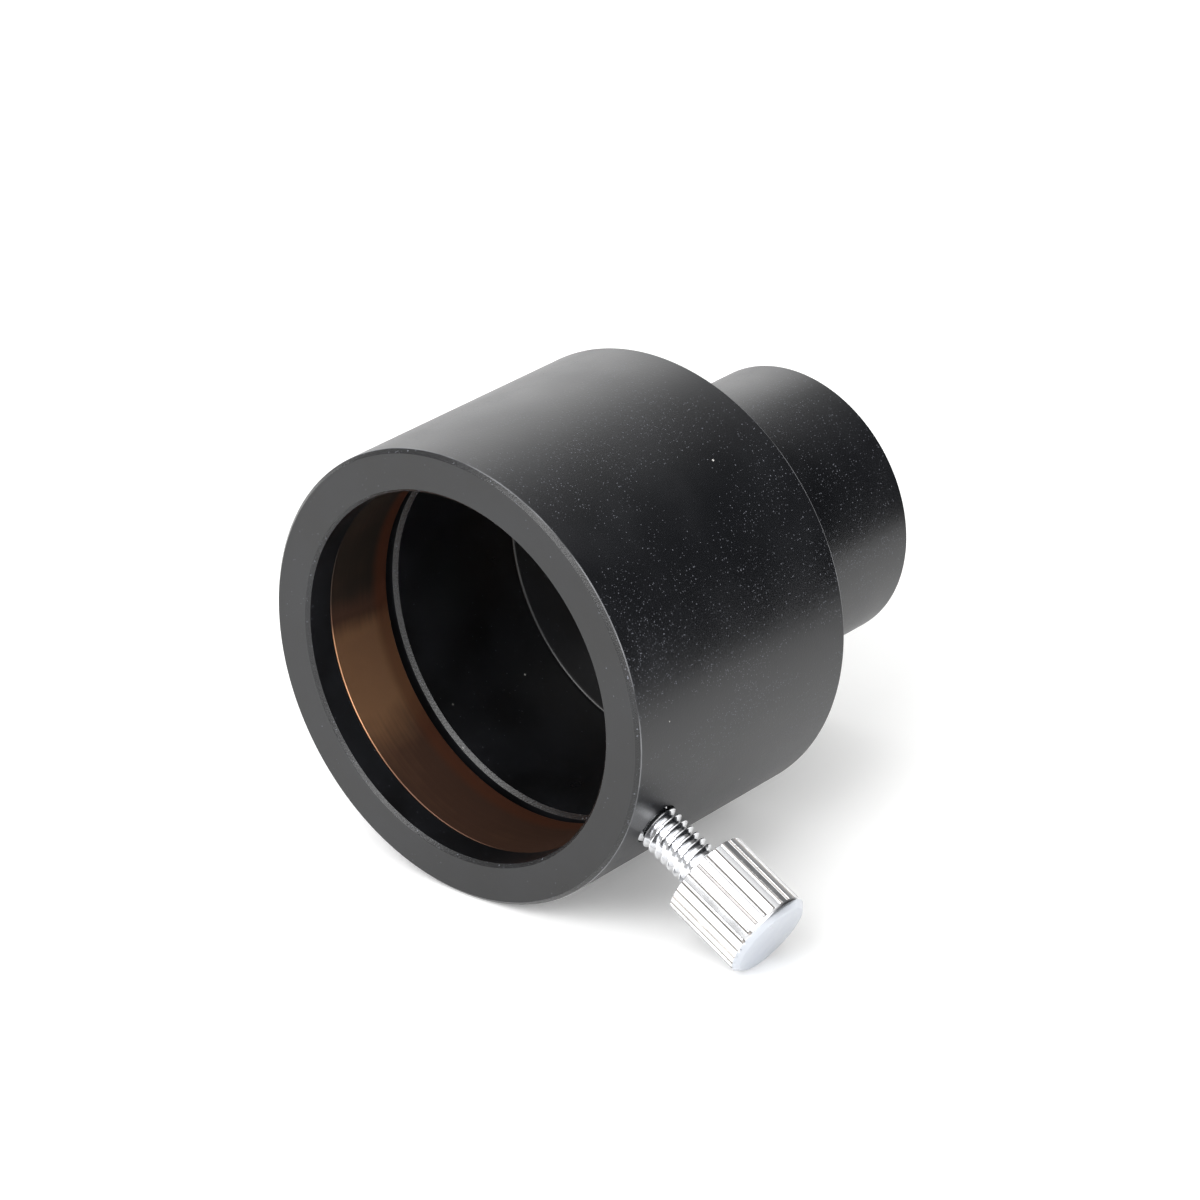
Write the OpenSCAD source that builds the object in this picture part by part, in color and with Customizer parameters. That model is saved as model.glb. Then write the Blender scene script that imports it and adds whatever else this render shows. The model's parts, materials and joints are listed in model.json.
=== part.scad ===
// Short Barlow lens for a telescope: a 1.25 inch eyepiece socket on a 0.965 inch nose.
// The origin is the centre of the socket's mouth. +Y runs along the optical axis from the
// mouth to the nose and +Z is up. The piece lies on its holder and on the rim of the
// clamping screw's head, so the screw points to +X and down.

/* [Eyepiece holder] */
// Outside diameter of the holder
holder_d = 39.3; // [39:0.1:42]
// Length of the holder along the optical axis
holder_l = 26.2; // [25:0.1:32]
// Bore of the socket, for a 31.75 mm eyepiece barrel
socket_d = 32; // [31.9:0.05:32.1]
// Thickness of the socket's floor
floor_t = 1; // [0.8:0.1:2]
// Chamfer on the holder's outer edges
holder_chamfer = 0.35; // [0.1:0.05:0.5]
// Chamfer round the socket's mouth
mouth_chamfer = 0.3; // [0.1:0.05:0.5]

/* [Compression ring] */
// Distance from the mouth to the ring's front edge
ring_y = 2.95; // [2.9:0.05:3.2]
// Width of the ring along the optical axis
ring_w = 6.75; // [6:0.05:7]
// Inside diameter of the ring when it is slack
ring_bore_d = 32.4; // [32.35:0.05:32.5]
// Thickness of the brass band
ring_t = 0.7; // [0.5:0.05:0.7]
// Width of the split in the band
ring_split_w = 2; // [1:0.1:4]
// Angle of the split round the optical axis, up from +X
ring_split_angle = 65; // [45:1:85]
// Distance from the mouth to the groove that holds the ring
groove_y = 2.7; // [2.5:0.05:2.7]
// Width of that groove
groove_w = 7.9; // [7.9:0.1:9]
// Radial room between the slack ring and the bottom of its groove
groove_room = 0.45; // [0.45:0.05:0.6]

/* [Clamping screw] */
// Distance from the mouth to the screw's axis
screw_y = 4.75; // [4.75:0.05:6]
// Major diameter of the screw's thread
thread_d = 3.85; // [3.8:0.01:3.88]
// Pitch of the thread
thread_pitch = 0.7; // [0.5:0.1:0.7]
// Diameter of the tapped hole, taken at its major diameter
screw_hole_d = 4; // [4:0.01:4.05]
// Distance from the optical axis to the underside of the head
head_reach = 25.4; // [24.5:0.1:28]
// Diameter of the head over its knurl
head_d = 7.8; // [6:0.1:10]
// Height of the head
head_h = 7.6; // [6:0.1:10]
// Chamfer on the head's outer rim
head_chamfer = 0.5; // [0.1:0.05:0.6]
// Number of grooves in the knurl
knurl_count = 27; // [18:1:30]
// Depth of each knurl groove
knurl_depth = 0.2; // [0.1:0.05:0.25]
// Height of the plain band left above the knurl
knurl_stop = 0.7; // [0.5:0.1:2]
// Free play between the screw's tip and the slack ring
tip_play = 0.4; // [0.4:0.05:0.6]

/* [Nosepiece] */
// Outside diameter of the nose, for a 24.5 mm focuser
nose_d = 24.4; // [24.3:0.05:24.5]
// Length of the nose behind the holder
nose_l = 18; // [17:0.5:30]
// Bore of the nose ahead of the lens cell
nose_bore_d = 21.2; // [20.8:0.1:21.4]
// Chamfer on the end of the nose
nose_chamfer = 0.4; // [0.1:0.05:0.5]
// Diameter of the thread that holds the nosepiece in the holder
skirt_d = 34.6; // [34.2:0.1:35]
// Length of that thread
skirt_l = 6; // [4:0.5:8]

/* [Optics] */
// Diameter of both lenses
lens_d = 20; // [19.6:0.1:20]
// Diameter of the polished part of each lens
polish_d = 18.6; // [18:0.1:18.8]
// Thickness of the crown lens at its centre
crown_t = 1.6; // [1.2:0.1:2]
// Radius of the crown's hollow face towards the socket
crown_back_r = 32; // [30:1:60]
// Radius of the crown's hollow face towards the flint
crown_front_r = 28; // [27:1:28]
// Thickness of the flint lens at its rim
flint_t = 1.2; // [1:0.1:1.6]
// Radius of the flint's bulging face towards the crown
flint_back_r = 29; // [29:1:40]
// Radius of the flint's hollow face towards the sky
flint_front_r = 60; // [50:1:120]
// Thickness of the spacer between the lenses
spacer_t = 0.3; // [0.3:0.05:0.5]
// Height of the threaded ring that holds the lenses
retainer_h = 1.1; // [1:0.1:1.4]
// Width of the spanner slots
slot_w = 1.4; // [1:0.1:2]
// Depth of the spanner slots
slot_depth = 0.7; // [0.5:0.1:0.8]

/* [Hidden] */

$fn = 96;
eps = 0.5;                // how far a cutter runs past the face it leaves by
thread_gap = 0.03;        // radial gap in a screwed joint that doesn't move
lens_gap = 0.05;          // radial gap between a lens and its cell

// Along the optical axis
floor_y = holder_l - floor_t;
skirt_y = holder_l - skirt_l;
end_y = holder_l + nose_l;

// The chamfer on the groove's rear edge
groove_rear_y = groove_y + groove_w;
groove_d = ring_bore_d + 2 * (ring_t + groove_room);
groove_chamfer = 0.35;

// The clamping screw, measured out from the optical axis
ring_outer_r = ring_bore_d / 2 + ring_t;
tip_r = ring_outer_r + tip_play;
pad_h = 0.45;
pad_d = 2.6;
stem_h = 1.2;
stem_d = 1.4;
stem_gap = 0.05;
shank_r = tip_r + pad_h + stem_gap;
thread_depth = 0.6134 * thread_pitch;
ridges = floor((head_reach - shank_r) / thread_pitch);
knurl_r = 0.16;

// The head's rim touches the same surface as the holder's underside
rim_out = head_reach + head_h - head_chamfer;
screw_drop = asin(holder_d / 2 / norm([rim_out, head_d / 2])) - atan2(head_d / 2, rim_out);

// The lens cell, from its inner end outwards
cell_d = nose_bore_d + 2 * 0.55;
cell_l = 8.4;
cell_y = end_y - 0.4 - cell_l;
cell_lip = 0.8;
crown_y = cell_y + cell_lip;
crown_rim_t = crown_t + sag(crown_back_r) + sag(crown_front_r);
spacer_y = crown_y + crown_rim_t;
flint_y = spacer_y + spacer_t;
retainer_y = flint_y + flint_t;
retainer_d = lens_d + 0.7;
retainer_thread_y = retainer_y - 0.3;

// Depth of a lens face of radius r at the edge of its polished part
function sag(r) = r - sqrt(r * r - polish_d * polish_d / 4);

// Turns a shape that is built up along +Z so that it runs along the optical axis
module along_optics(y = 0) {
    translate([0, y, 0]) rotate([-90, 0, 0]) children();
}

// Turns a shape that is built up along +Z so that it runs out along the clamping screw
module along_screw(reach = 0) {
    translate([0, screw_y, 0]) rotate([0, 90 + screw_drop, 0]) translate([0, 0, reach]) children();
}

// A tube between two places on the optical axis
module tube(y, l, outer_d, inner_d) {
    along_optics(y) difference() {
        cylinder(d = outer_d, h = l);
        translate([0, 0, -eps]) cylinder(d = inner_d, h = l + 2 * eps);
    }
}

// Two opposite slots across a ring's outer face, which lies at y
module spanner_slots(y, across) {
    along_optics(y - slot_depth)
        translate([-across / 2, -slot_w / 2, 0]) cube([across, slot_w, slot_depth + eps]);
}

// Half section of the holder: along the outside, round the rear, then back up the socket
module holder_outline() {
    r = holder_d / 2;
    bore = socket_d / 2;
    skirt = skirt_d / 2;
    groove = groove_d / 2;
    polygon([
        [bore + mouth_chamfer, 0],
        [r - holder_chamfer, 0],
        [r, holder_chamfer],
        [r, holder_l - holder_chamfer],
        [r - holder_chamfer, holder_l],
        [skirt, holder_l],
        [skirt, skirt_y],
        [bore, skirt_y],
        [bore, groove_rear_y + groove_chamfer],
        [bore + groove_chamfer, groove_rear_y],
        [groove, groove_rear_y],
        [groove, groove_y],
        [bore, groove_y],
        [bore, mouth_chamfer]
    ]);
}

// Half section of the nosepiece: the nose, the floor of the socket and the threaded skirt
module nose_outline() {
    r = nose_d / 2;
    hole = nose_bore_d / 2;
    cell = cell_d / 2 + thread_gap;
    skirt = skirt_d / 2 - thread_gap;
    bore = socket_d / 2;
    polygon([
        [hole, floor_y],
        [bore, floor_y],
        [bore, skirt_y],
        [skirt, skirt_y],
        [skirt, holder_l],
        [r, holder_l],
        [r, end_y - nose_chamfer],
        [r - nose_chamfer, end_y],
        [cell, end_y],
        [cell, cell_y],
        [hole, cell_y]
    ]);
}

// Half section of one screw thread as rings, from its inner end to the head
module thread_outline() {
    crest = thread_d / 2;
    root = crest - thread_depth;
    flat = thread_pitch / 8;
    flank = thread_pitch * 5 / 16;
    start = [for (i = [0 : ridges - 1]) i * thread_pitch + 0.1];
    polygon(concat(
        [[0, 0], [root, 0]],
        [for (z = start) each [
            [root, z],
            [crest, z + flank],
            [crest, z + flank + flat],
            [root, z + 2 * flank + flat]
        ]],
        [[root, head_reach - shank_r + eps], [0, head_reach - shank_r + eps]]
    ));
}

module eyepiece_holder() {
    color("#1b1c1e") difference() {
        along_optics() rotate_extrude() holder_outline();
        along_screw(socket_d / 2) cylinder(d = screw_hole_d, h = holder_d / 2);
    }
}

module nosepiece() {
    color("#202124") along_optics() rotate_extrude() nose_outline();
}

module compression_ring() {
    color("#8a5a35") difference() {
        tube(ring_y, ring_w, 2 * ring_outer_r, ring_bore_d);
        rotate([0, -ring_split_angle, 0])
            translate([ring_bore_d / 2 - 1, ring_y - eps, -ring_split_w / 2])
                cube([ring_t + 2, ring_w + 2 * eps, ring_split_w]);
    }
}

module thumbscrew() {
    color("#d9dce0") difference() {
        union() {
            along_screw(shank_r) rotate_extrude() thread_outline();
            along_screw(head_reach) cylinder(d = head_d, h = head_h - head_chamfer);
            along_screw(head_reach + head_h - head_chamfer)
                cylinder(d1 = head_d, d2 = head_d - 2 * head_chamfer, h = head_chamfer);
        }
        for (i = [0 : knurl_count - 1])
            along_screw(head_reach - eps) rotate([0, 0, i * 360 / knurl_count])
                translate([head_d / 2 + knurl_r - knurl_depth, 0, 0])
                    cylinder(r = knurl_r, h = head_h - knurl_stop + eps, $fn = 24);
        along_screw(shank_r - eps) cylinder(d = stem_d + 2 * stem_gap, h = stem_h + 0.2 + eps);
    }
}

module screw_tip() {
    color("#c9a24a") union() {
        along_screw(tip_r) cylinder(d = pad_d, h = pad_h);
        along_screw(tip_r + pad_h / 2) cylinder(d = stem_d, h = pad_h / 2 + stem_gap + stem_h);
    }
}

module lens_cell() {
    pocket = lens_d + 2 * lens_gap;
    thread = retainer_d + 2 * thread_gap;
    color("#232427") difference() {
        along_optics(cell_y) cylinder(d = cell_d, h = cell_l);
        along_optics(cell_y - eps) cylinder(d = polish_d, h = cell_l + 2 * eps);
        along_optics(crown_y) cylinder(d = pocket, h = cell_l);
        along_optics(retainer_thread_y) cylinder(d = thread, h = cell_l);
        spanner_slots(cell_y + cell_l, cell_d + 2);
    }
}

module crown_lens() {
    color("#bcd8dc80") along_optics(crown_y) difference() {
        cylinder(d = lens_d, h = crown_rim_t);
        translate([0, 0, sag(crown_back_r) - crown_back_r]) sphere(r = crown_back_r);
        translate([0, 0, crown_rim_t - sag(crown_front_r) + crown_front_r])
            sphere(r = crown_front_r);
    }
}

module lens_spacer() {
    color("#c9a24a") tube(spacer_y, spacer_t, lens_d, polish_d);
}

module flint_lens() {
    color("#cfe0d880") along_optics(flint_y) difference() {
        union() {
            cylinder(d = lens_d, h = flint_t);
            intersection() {
                translate([0, 0, flint_back_r - sag(flint_back_r)]) sphere(r = flint_back_r);
                translate([0, 0, -4]) cylinder(d = polish_d, h = 4.5);
            }
        }
        translate([0, 0, flint_t - sag(flint_front_r) + flint_front_r]) sphere(r = flint_front_r);
    }
}

module lens_retaining_ring() {
    color("#1b1c1e") difference() {
        tube(retainer_y, retainer_h, retainer_d, polish_d);
        spanner_slots(retainer_y + retainer_h, retainer_d + 2);
    }
}

eyepiece_holder();
nosepiece();
compression_ring();
thumbscrew();
screw_tip();
lens_cell();
crown_lens();
lens_spacer();
flint_lens();
lens_retaining_ring();
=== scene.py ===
# %% [markdown]
# # A short Barlow lens for a telescope
# The real thing is a stubby black aluminium tube, about 45 mm long. Its wide end is a socket
# that an eyepiece slides into. A knurled thumbscrew pushes a brass band against the
# eyepiece's barrel and holds it. Its narrow end goes into the telescope's focuser, and two
# small lenses sit in it, screwed into a cell.
#
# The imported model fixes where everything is. This script loads it, builds a finer piece for
# each of its ten parts, and gives each piece a material that starts from the real one.

# %% Load the frame
import json
import math

import bmesh
import bpy
from mathutils import Matrix, Vector


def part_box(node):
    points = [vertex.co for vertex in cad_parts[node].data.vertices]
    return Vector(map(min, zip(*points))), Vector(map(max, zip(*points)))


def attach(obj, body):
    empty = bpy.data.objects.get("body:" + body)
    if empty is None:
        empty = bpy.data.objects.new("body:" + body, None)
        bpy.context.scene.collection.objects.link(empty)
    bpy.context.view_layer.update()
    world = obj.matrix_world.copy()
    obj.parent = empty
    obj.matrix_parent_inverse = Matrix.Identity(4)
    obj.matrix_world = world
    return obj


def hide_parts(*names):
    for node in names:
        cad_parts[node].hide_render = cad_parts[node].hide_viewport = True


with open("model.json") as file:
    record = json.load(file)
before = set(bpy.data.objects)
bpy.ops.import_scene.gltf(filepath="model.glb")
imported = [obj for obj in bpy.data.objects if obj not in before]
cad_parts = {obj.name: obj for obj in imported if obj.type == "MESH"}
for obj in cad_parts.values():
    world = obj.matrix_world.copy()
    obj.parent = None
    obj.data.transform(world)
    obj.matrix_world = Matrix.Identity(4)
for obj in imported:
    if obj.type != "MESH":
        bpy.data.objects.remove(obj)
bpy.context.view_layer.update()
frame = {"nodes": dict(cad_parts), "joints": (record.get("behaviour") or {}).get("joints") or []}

print("parts in the frame:", ", ".join(sorted(frame["nodes"])))

# %% [markdown]
# ## Working in millimetres
# Blender works in metres here, and a part this small is easier to think of in millimetres.
# Every outline below is in millimetres and one factor turns it to metres. The sizes that
# more than one piece shares are read from the frame, so they can't drift from the design.

# %% Read the sizes that pieces share
MM = 0.001


def reach(node):
    """A round part's outer radius and where it starts and ends along the optical axis, in mm."""
    low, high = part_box(node)
    return (high.z - low.z) / 2 / MM, low.y / MM, high.y / MM


holder_r, _, holder_end = reach("eyepiece_holder")
skirt_r, skirt_start, nose_end = reach("nosepiece")
band_r, band_start, band_end = reach("compression_ring")
cell_r, cell_start, cell_end = reach("lens_cell")
lens_r, crown_start, crown_end = reach("crown_lens")
_, flint_start, flint_end = reach("flint_lens")
_, spacer_start, spacer_end = reach("lens_spacer")
ring_r, ring_start, ring_end = reach("lens_retaining_ring")
# half of the socket's bore, which a 31.75 mm eyepiece barrel slides into
bore_r = 16.0
print(f"holder {2 * holder_r:.1f} mm across and {holder_end:.1f} mm long, nose ends at {nose_end:.1f} mm")

# %% [markdown]
# ## Two axes to build along
# Everything here is turned on a lathe, round one of two axes: the optical axis, which runs
# along Y, and the thumbscrew's axis, which leans down to the right. A matrix for each says
# where a piece's own upright axis points, so one lathe function serves both.

# %% Set up the two axes
def axes(x, z, origin=(0, 0, 0)):
    """A matrix that stands a piece's own Z along z and its own X along x, in metres."""
    x, z = Vector(x).normalized(), Vector(z).normalized()
    turn = Matrix((x, z.cross(x), z)).transposed().to_4x4()
    return Matrix.Translation(origin) @ turn


OPTICS = axes(x=(1, 0, 0), z=(0, 1, 0))
turning = next(j for j in frame["joints"] if j["name"] == "thumbscrew_turn")
screw_out = -Vector(turning["axis"])
screw_y = turning["pos_m"][1]
SCREW = axes(x=(0, 1, 0), z=screw_out, origin=(0, screw_y, 0))
print(f"thumbscrew {math.degrees(math.asin(-screw_out.z)):.2f} degrees below level")

# %% [markdown]
# ## Outlines with eased corners
# No machined corner is perfectly sharp. A few hundredths of a millimetre are broken off by a
# file or by tumbling, and that tiny curve is what catches the light as a thin bright line. A
# bevel modifier could round them, but an outline that already holds its own arcs keeps full
# control of each corner, and costs only a few points.

# %% Round the corners of an outline
ARC_STEPS = 4


def eased(corners):
    """A closed outline of (radius, height, easing) corners in mm, each replaced by an arc."""
    points = []
    for i, (r, h, easing) in enumerate(corners):
        here = Vector((r, h))
        if easing == 0:
            points.append((r, h))
            continue
        before = (Vector(corners[i - 1][:2]) - here).normalized()
        after = (Vector(corners[(i + 1) % len(corners)][:2]) - here).normalized()
        half = before.angle(after) / 2
        centre = here + (before + after).normalized() * easing / math.sin(half)
        first = here + before * easing / math.tan(half) - centre
        last = here + after * easing / math.tan(half) - centre
        for step in range(ARC_STEPS + 1):
            arm = first.slerp(last, step / ARC_STEPS)
            points.append(tuple(centre + arm.normalized() * easing))
    return points


# %% [markdown]
# ## A lathe
# The lathe sweeps an outline round an axis. Building the mesh by hand, ring by ring, keeps
# every face a clean four-sided one, which shades and bevels well. A point on the axis
# becomes a single vertex, and a sweep of less than a full turn gets flat ends.

# %% Turn an outline into a mesh
SHARP = math.radians(32)


def finish_mesh(name, bm, place):
    """Moves a mesh that is in mm into place, and shades it smooth with crisp edges."""
    bmesh.ops.recalc_face_normals(bm, faces=bm.faces)
    bmesh.ops.transform(bm, matrix=place @ Matrix.Scale(MM, 4), verts=bm.verts)
    mesh = bpy.data.meshes.new(name)
    bm.to_mesh(mesh)
    bm.free()
    mesh.shade_smooth()
    mesh.set_sharp_from_angle(angle=SHARP)
    piece = bpy.data.objects.new(name, mesh)
    bpy.context.collection.objects.link(piece)
    return piece


def lathe(name, outline, place=OPTICS, steps=192, start=0.0, sweep=360.0):
    """Sweeps a closed (radius, height) outline in mm, from start degrees through sweep degrees."""
    bm = bmesh.new()
    full = sweep >= 360
    turns = [math.radians(start + sweep * i / steps) for i in range(steps + (not full))]
    rings = []
    for r, h in outline:
        if r < 1e-6:
            rings.append([bm.verts.new((0, 0, h))] * len(turns))
        else:
            rings.append([bm.verts.new((r * math.cos(a), r * math.sin(a), h)) for a in turns])
    for i, ring in enumerate(rings):
        below = rings[i - 1]
        for j in range(steps):
            k = (j + 1) % len(turns)
            corners = dict.fromkeys((below[j], below[k], ring[k], ring[j]))
            if len(corners) > 2:
                bm.faces.new(corners)
    if not full:
        bm.faces.new([ring[0] for ring in rings])
        bm.faces.new([ring[-1] for ring in rings])
    return finish_mesh(name, bm, place)


def flatter_shading(piece):
    """Lets big faces lead the shading, so a flat stays flat up to its eased edge."""
    weights = piece.modifiers.new("flatter shading", "WEIGHTED_NORMAL")
    weights.keep_sharp = True
    return piece


# %% [markdown]
# ## Drilling and slotting
# Holes and slots are cut with a boolean, as a drill or a cutter would make them. The result
# is written back to the piece's mesh and the cutter is thrown away, so the file holds only
# real pieces.

# %% Cut one mesh with another
def combine(piece, tool, operation="DIFFERENCE"):
    """Cuts tool out of piece, or joins it on, and keeps only the result."""
    step = piece.modifiers.new("cut", "BOOLEAN")
    step.operation = operation
    step.object = tool
    step.solver = "EXACT"
    bpy.context.view_layer.update()
    evaluated = piece.evaluated_get(bpy.context.evaluated_depsgraph_get())
    result = bpy.data.meshes.new_from_object(evaluated)
    piece.modifiers.clear()
    old, piece.data = piece.data, result
    bpy.data.meshes.remove(old)
    bpy.data.objects.remove(tool)
    piece.data.set_sharp_from_angle(angle=SHARP)
    return piece


def bar(across, wide, low, high, place=OPTICS):
    """A square-edged cutter that lies across an axis, from height low to high, in mm."""
    bm = bmesh.new()
    bmesh.ops.create_cube(bm, size=1)
    size = Matrix.Diagonal((across, wide, high - low, 1))
    bmesh.ops.transform(bm, matrix=Matrix.Translation((0, 0, (low + high) / 2)) @ size, verts=bm.verts)
    return finish_mesh("cutter", bm, place)


# %% [markdown]
# ## Colours and shader nodes
# Colours are easiest to pick as the hex values that a screen shows, but a renderer adds
# light in linear numbers, so one function converts them. A second one adds a shader node
# with its settings and links in a single call. Each material also needs to know where on
# the object a point lies, because its patterns are laid out in real millimetres.

# %% Helpers for materials
def linear(hex_colour):
    """An sRGB hex colour as linear red, green, blue and alpha."""
    parts = [int(hex_colour[i:i + 2], 16) / 255 for i in (1, 3, 5)]
    return [p / 12.92 if p <= 0.04045 else ((p + 0.055) / 1.055) ** 2.4 for p in parts] + [1.0]


def add(tree, kind, inputs=None, stops=(), **settings):
    """Adds a node. inputs maps a socket to a value, or to the output that feeds it, and stops
    are the (position, colour) pairs of a colour ramp."""
    made = tree.nodes.new(kind)
    for key, value in settings.items():
        setattr(made, key, value)
    for socket, value in (inputs or {}).items():
        if isinstance(value, bpy.types.NodeSocket):
            tree.links.new(value, made.inputs[socket])
        else:
            made.inputs[socket].default_value = value
    if stops:
        made.color_ramp.interpolation = "EASE"
        while len(made.color_ramp.elements) < len(stops):
            made.color_ramp.elements.new(0.5)
        for element, (position, colour) in zip(made.color_ramp.elements, stops):
            element.position = position
            element.color = colour
    return made


def new_material(name, **surface):
    """A material with one Principled shader, set from surface. Returns it, its tree, its
    shader, and the output that says where on the object a point lies, in metres."""
    made = bpy.data.materials.new(name)
    made.use_nodes = True
    shader = made.node_tree.nodes["Principled BSDF"]
    for socket, value in surface.items():
        shader.inputs[socket.replace("_", " ")].default_value = value
    place = add(made.node_tree, "ShaderNodeTexCoord").outputs["Object"]
    return made, made.node_tree, shader, place


def per_metre(size_mm):
    """A pattern's scale, from the real size of one of its cells or waves in mm."""
    return 1 / (size_mm * MM)


def grey(level):
    """A neutral linear colour."""
    return (level, level, level, 1.0)


def dust(tree, place, size_mm, spacing_mm, patches_mm, bare):
    """A mask of small specks gathered in patches, from 0 where it is clean to 1 on the thickest
    speck. size_mm is how wide they are on average, and bare is the share that is clean."""
    cells = add(tree, "ShaderNodeTexVoronoi", {"Vector": place, "Scale": per_metre(spacing_mm)})
    # each cell has a random colour: its red picks which specks are there, its green how thick
    # they are, and its blue how wide, from 0.4 to 1.6 times the average
    pick = add(tree, "ShaderNodeSeparateColor", {"Color": cells.outputs["Color"]})
    mean = size_mm / spacing_mm / 2
    reach_out = add(tree, "ShaderNodeMath", {0: pick.outputs["Blue"], 1: 1.2 * mean, 2: 0.4 * mean},
                    operation="MULTIPLY_ADD")
    near = add(tree, "ShaderNodeMath", {0: cells.outputs["Distance"], 1: reach_out.outputs[0]},
               operation="LESS_THAN")
    cloud = add(tree, "ShaderNodeTexNoise",
                {"Vector": place, "Scale": per_metre(patches_mm), "Detail": 3.0})
    chance = add(tree, "ShaderNodeMapRange",
                 {"Value": cloud.outputs["Fac"], "From Min": 0.35, "From Max": 0.7,
                  "To Min": 0.0, "To Max": 1.0 - bare})
    chosen = add(tree, "ShaderNodeMath", {0: pick.outputs["Red"], 1: chance.outputs["Result"]},
                 operation="LESS_THAN")
    both = add(tree, "ShaderNodeMath", {0: near.outputs[0], 1: chosen.outputs[0]},
               operation="MULTIPLY")
    thick = add(tree, "ShaderNodeMath", {0: both.outputs[0], 1: pick.outputs["Green"]},
                operation="MULTIPLY")
    return thick.outputs[0]


# %% [markdown]
# ## Black anodised aluminium
# The tube is turned from bar, bead blasted, then anodised and dyed black. What the eye meets
# is the clear oxide film, which is a glassy layer and not bare metal, so the shader is a
# non-metal over a nearly black dye. Solid oxide has an IOR near 1.7, and the film is porous
# and filled with dye and sealant, so its own is lower. The blasting gives it a fine grain
# and a soft sheen. Dust settles on it and shows as pale specks, and some of the pale specks
# are painted glints. The black is worn thin along the outer edges, which show as pale lines.

# %% Anodised aluminium, for the outside
FILM_IOR = 1.54
# the pale grey of the fine specks, which are partly dust and partly painted glints
DUST_AND_GLINT_GREY = linear("#63656c")
LINT_WHITE = linear("#c9c8c4")
WORN_DYE = linear("#16171a")
# how much duller or shinier handling leaves the film, as roughness
HANDLED = 0.03


def anodised(name, dye, roughness, grain_mm=0.16, grain_depth=0.4, speck_mm=0.075,
             speck_spacing_mm=0.16, clean=0.0, turned=False, pit_mm=0.02):
    """Dyed oxide film: a blasted grain, or fine rings from turning, with dust and painted glints on top.
    """
    made, tree, shader, place = new_material(name, IOR=FILM_IOR)
    # the fine pale specks: partly dust, partly painted glints on the dark film
    fine = dust(tree, place, speck_mm, speck_spacing_mm, patches_mm=9.0, bare=clean)
    lint = dust(tree, place, size_mm=0.2, spacing_mm=2.4, patches_mm=14.0, bare=0.5)
    specks = add(tree, "ShaderNodeMath", {0: fine, 1: lint}, operation="MAXIMUM").outputs[0]

    cloud = add(tree, "ShaderNodeTexNoise", {"Vector": place, "Scale": per_metre(6.0), "Detail": 4.0})
    tone = add(tree, "ShaderNodeValToRGB", {"Fac": cloud.outputs["Fac"]},
               stops=[(0.3, linear(dye)), (0.75, WORN_DYE)])
    # a colour mix takes its two colours at inputs 6 and 7, and gives the result at output 2
    dust_and_glint_colour = add(tree, "ShaderNodeMix", {0: fine, 6: tone.outputs["Color"], 7: DUST_AND_GLINT_GREY},
                data_type="RGBA")
    colour = add(tree, "ShaderNodeMix", {0: lint, 6: dust_and_glint_colour.outputs[2], 7: LINT_WHITE},
                 data_type="RGBA")
    tree.links.new(colour.outputs[2], shader.inputs["Base Color"])

    handled = add(tree, "ShaderNodeMapRange",
                  {"Value": cloud.outputs["Fac"], "From Min": 0.3, "From Max": 0.7,
                   "To Min": roughness - HANDLED, "To Max": roughness + HANDLED})
    dull = add(tree, "ShaderNodeMath", {0: handled.outputs["Result"], 1: specks},
               operation="MAXIMUM")
    tree.links.new(dull.outputs[0], shader.inputs["Roughness"])

    if turned:
        # fine rings, read from the distance to the optical axis
        flat = add(tree, "ShaderNodeVectorMath", {0: place, 1: (1.0, 0.0, 1.0)},
                   operation="MULTIPLY")
        radius = add(tree, "ShaderNodeVectorMath", {0: flat.outputs[0]}, operation="LENGTH")
        grain = add(tree, "ShaderNodeTexNoise",
                    {"W": radius.outputs["Value"], "Scale": per_metre(grain_mm), "Detail": 2.0},
                    noise_dimensions="1D")
    else:
        grain = add(tree, "ShaderNodeTexNoise",
                    {"Vector": place, "Scale": per_metre(grain_mm), "Detail": 3.0})
    bump = add(tree, "ShaderNodeBump",
               {"Height": grain.outputs["Fac"], "Strength": grain_depth, "Distance": pit_mm * MM})
    tree.links.new(bump.outputs["Normal"], shader.inputs["Normal"])
    return made


# the outside: a soft sheen. Grit leaves pits of some 0.05 mm, drawn three times as wide so
# that they show
blasted_black = anodised("anodised_aluminium_blasted", "#0f1013", 0.37)
# the front face: smoother, with rings from the tool and hardly any dust
turned_black = anodised("anodised_aluminium_turned", "#0f0f10", 0.30, grain_mm=0.12,
                        grain_depth=0.12, clean=0.94, turned=True)
# the chamfers: shinier, and knocked about, so that the edge glints unevenly; their dense pale specks are
# painted glints as well as dust
chamfer_black = anodised("anodised_aluminium_chamfer", "#0f0f10", 0.24, grain_mm=0.13,
                         grain_depth=1.0, speck_mm=0.1, speck_spacing_mm=0.2, clean=0.3, pit_mm=0.05)
# the sharpest edges: the dye has rubbed off, which leaves a thin grey line
worn_black = anodised("anodised_aluminium_worn_edge", "#77787b", 0.35, clean=0.6)
# the bore: painted the deepest black, as shade inside the socket, and nearly free of dust, because
# nothing has touched it
shaded_bore_black = anodised("anodised_aluminium_bore_shaded", "#0c0c0d", 0.30, grain_mm=0.14, grain_depth=0.2,
                      clean=0.92)
print("anodised finishes: blasted, turned, chamfer, worn edge and bore")

# %% [markdown]
# ## Tarnished brass
# The clamping band is rolled brass strip. Years in the open have browned it. It is darkest at
# the top and coppery just below the middle, partly where eyepieces have slid over it and partly
# as painted light and shade on its lower and upper sides. Tarnish is a thin
# brown oxide over metal, so the shader stays metallic with a brown colour, and rolling
# leaves long fine streaks round the band. Its rear edge has turned redder than the rest.

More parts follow.
